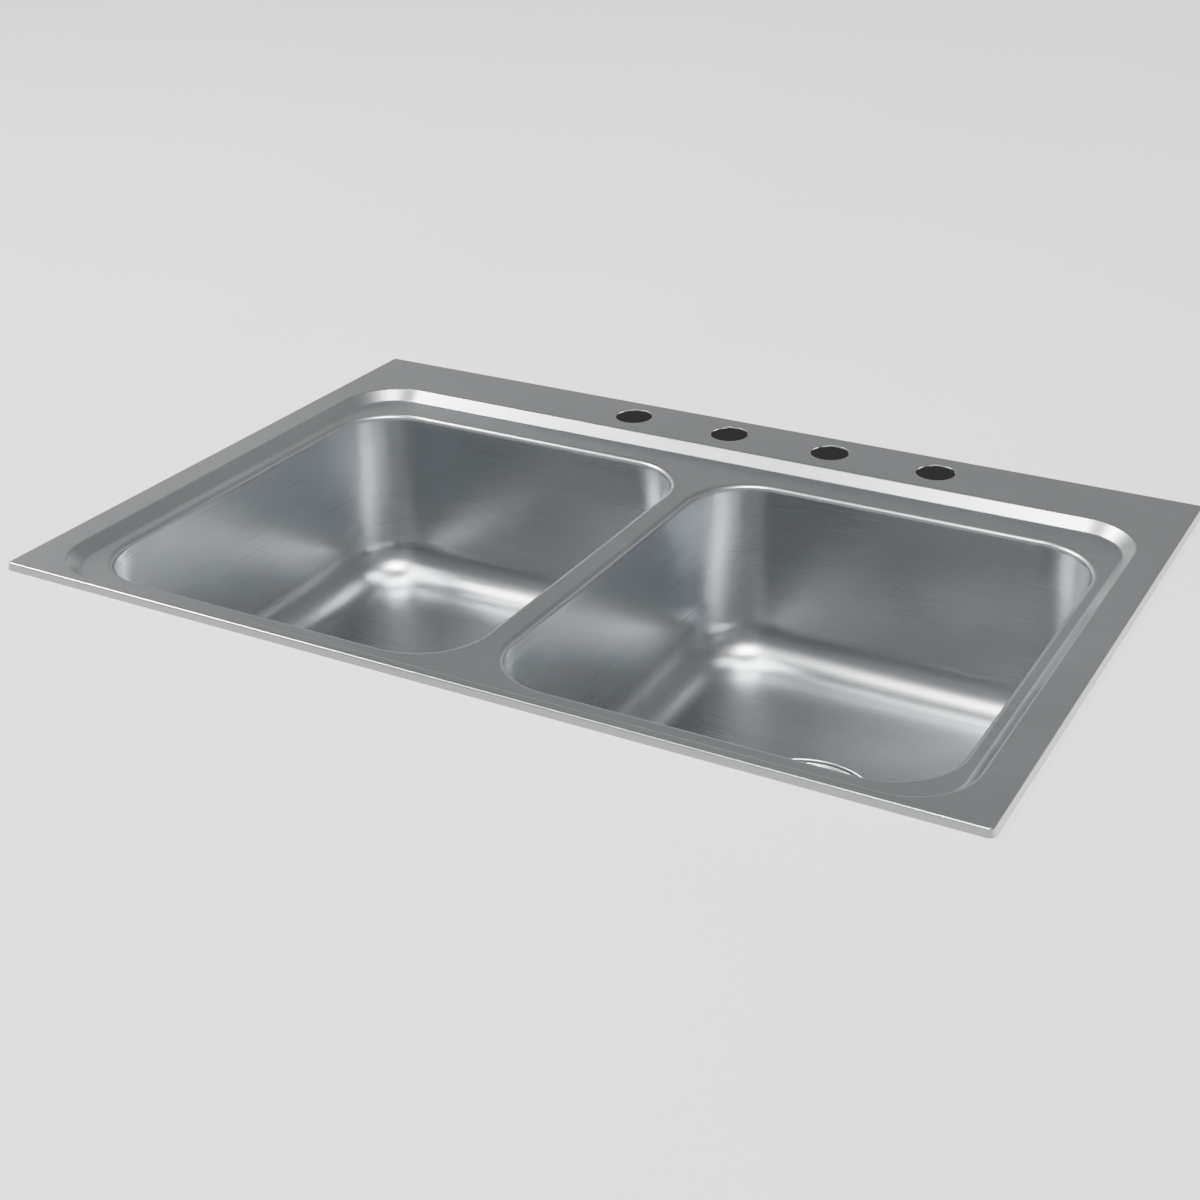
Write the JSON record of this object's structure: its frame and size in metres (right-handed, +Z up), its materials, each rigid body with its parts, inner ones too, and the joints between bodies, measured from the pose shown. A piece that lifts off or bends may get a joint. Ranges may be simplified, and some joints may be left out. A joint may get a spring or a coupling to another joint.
{
  "type": "double bowl kitchen sink",
  "caption": "Drop-in double bowl kitchen sink with a stepped recess, tap holes in its back deck, lift-out strainer baskets and swing-out hold-down clips.",
  "frame": {"origin": "middle of the rim, on the plane of the worktop that the rim rests on", "axes": "+Z up, +Y to the back where the tap holes are, +X to the right seen from the front"},
  "size_m": [0.8382, 0.5588, 0.345],
  "materials": {
    "satin_steel": "brushed satin stainless steel",
    "rail_steel": "plain galvanised steel strip",
    "seal_foam": "closed-cell foam strip",
    "pad_rubber": "matt sound-deadening rubber",
    "zinc_plate": "bright zinc plated steel",
    "strainer_steel": "polished stainless steel",
    "black_rubber": "matt black rubber",
    "fibre": "pressed fibre card",
    "cast_zinc": "die-cast zinc, unpolished",
    "chrome_plate": "chrome plated brass"
  },
  "bodies": {
    "root": {"deck": "satin_steel", "left_bowl": "satin_steel", "right_bowl": "satin_steel", "left_pad": "pad_rubber", "right_pad": "pad_rubber", "rim_seal": "seal_foam", "front_rail": "rail_steel", "left_rail": "rail_steel", "right_rail": "rail_steel", "back_left_rail": "rail_steel", "back_right_rail": "rail_steel", "clip_studs": "zinc_plate", "left_strainer_body": "strainer_steel", "left_gasket": "black_rubber", "left_friction_ring": "fibre", "left_locknut": "cast_zinc", "left_tail_washer": "black_rubber", "left_tailpiece": "chrome_plate", "left_coupling_nut": "chrome_plate", "right_strainer_body": "strainer_steel", "right_gasket": "black_rubber", "right_friction_ring": "fibre", "right_locknut": "cast_zinc", "right_tail_washer": "black_rubber", "right_tailpiece": "chrome_plate", "right_coupling_nut": "chrome_plate"},
    "left_basket_set": {"left_basket": "strainer_steel", "left_basket_post": "strainer_steel", "left_stopper": "black_rubber"},
    "right_basket_set": {"right_basket": "strainer_steel", "right_basket_post": "strainer_steel", "right_stopper": "black_rubber"},
    "clip_nut_front_left": {"nut_front_left": "zinc_plate"},
    "clip_toe_front_left": {"toe_front_left": "zinc_plate"},
    "clip_nut_front_right": {"nut_front_right": "zinc_plate"},
    "clip_toe_front_right": {"toe_front_right": "zinc_plate"},
    "clip_nut_back_left": {"nut_back_left": "zinc_plate"},
    "clip_toe_back_left": {"toe_back_left": "zinc_plate"},
    "clip_nut_back_right": {"nut_back_right": "zinc_plate"},
    "clip_toe_back_right": {"toe_back_right": "zinc_plate"},
    "clip_nut_left_front": {"nut_left_front": "zinc_plate"},
    "clip_toe_left_front": {"toe_left_front": "zinc_plate"},
    "clip_nut_left_back": {"nut_left_back": "zinc_plate"},
    "clip_toe_left_back": {"toe_left_back": "zinc_plate"},
    "clip_nut_right_front": {"nut_right_front": "zinc_plate"},
    "clip_toe_right_front": {"toe_right_front": "zinc_plate"},
    "clip_nut_right_back": {"nut_right_back": "zinc_plate"},
    "clip_toe_right_back": {"toe_right_back": "zinc_plate"}
  },
  "joints": [
    {"name": "left_basket_lift", "type": "slide", "parent": "root", "child": "left_basket_set", "axis": [0, 0, 1], "range_m": [0, 0.26]},
    {"name": "right_basket_lift", "type": "slide", "parent": "root", "child": "right_basket_set", "axis": [0, 0, 1], "range_m": [0, 0.26]},
    {"name": "front_left_clamp", "type": "slide", "parent": "root", "child": "clip_nut_front_left", "axis": [0, 0, 1], "range_m": [0, 0.03]},
    {"name": "front_left_swing", "type": "hinge", "parent": "clip_nut_front_left", "child": "clip_toe_front_left", "pos_m": [-0.192, -0.2526, -0.0559], "axis": [0, 0, 1], "range_deg": [0, 90]},
    {"name": "front_right_clamp", "type": "slide", "parent": "root", "child": "clip_nut_front_right", "axis": [0, 0, 1], "range_m": [0, 0.03]},
    {"name": "front_right_swing", "type": "hinge", "parent": "clip_nut_front_right", "child": "clip_toe_front_right", "pos_m": [0.192, -0.2526, -0.0559], "axis": [0, 0, 1], "range_deg": [0, 90]},
    {"name": "back_left_clamp", "type": "slide", "parent": "root", "child": "clip_nut_back_left", "axis": [0, 0, 1], "range_m": [0, 0.03]},
    {"name": "back_left_swing", "type": "hinge", "parent": "clip_nut_back_left", "child": "clip_toe_back_left", "pos_m": [-0.2592, 0.258, -0.0464], "axis": [0, 0, 1], "range_deg": [0, 90]},
    {"name": "back_right_clamp", "type": "slide", "parent": "root", "child": "clip_nut_back_right", "axis": [0, 0, 1], "range_m": [0, 0.03]},
    {"name": "back_right_swing", "type": "hinge", "parent": "clip_nut_back_right", "child": "clip_toe_back_right", "pos_m": [0.2973, 0.258, -0.0464], "axis": [0, 0, 1], "range_deg": [0, 90]},
    {"name": "left_front_clamp", "type": "slide", "parent": "root", "child": "clip_nut_left_front", "axis": [0, 0, 1], "range_m": [0, 0.03]},
    {"name": "left_front_swing", "type": "hinge", "parent": "clip_nut_left_front", "child": "clip_toe_left_front", "pos_m": [-0.3986, -0.13843, -0.0464], "axis": [0, 0, 1], "range_deg": [0, 90]},
    {"name": "left_back_clamp", "type": "slide", "parent": "root", "child": "clip_nut_left_back", "axis": [0, 0, 1], "range_m": [0, 0.03]},
    {"name": "left_back_swing", "type": "hinge", "parent": "clip_nut_left_back", "child": "clip_toe_left_back", "pos_m": [-0.3986, 0.07793, -0.0464], "axis": [0, 0, 1], "range_deg": [0, 90]},
    {"name": "right_front_clamp", "type": "slide", "parent": "root", "child": "clip_nut_right_front", "axis": [0, 0, 1], "range_m": [0, 0.03]},
    {"name": "right_front_swing", "type": "hinge", "parent": "clip_nut_right_front", "child": "clip_toe_right_front", "pos_m": [0.3986, -0.13843, -0.0464], "axis": [0, 0, 1], "range_deg": [0, 90]},
    {"name": "right_back_clamp", "type": "slide", "parent": "root", "child": "clip_nut_right_back", "axis": [0, 0, 1], "range_m": [0, 0.03]},
    {"name": "right_back_swing", "type": "hinge", "parent": "clip_nut_right_back", "child": "clip_toe_right_back", "pos_m": [0.3986, 0.07793, -0.0464], "axis": [0, 0, 1], "range_deg": [0, 90]}
  ]
}
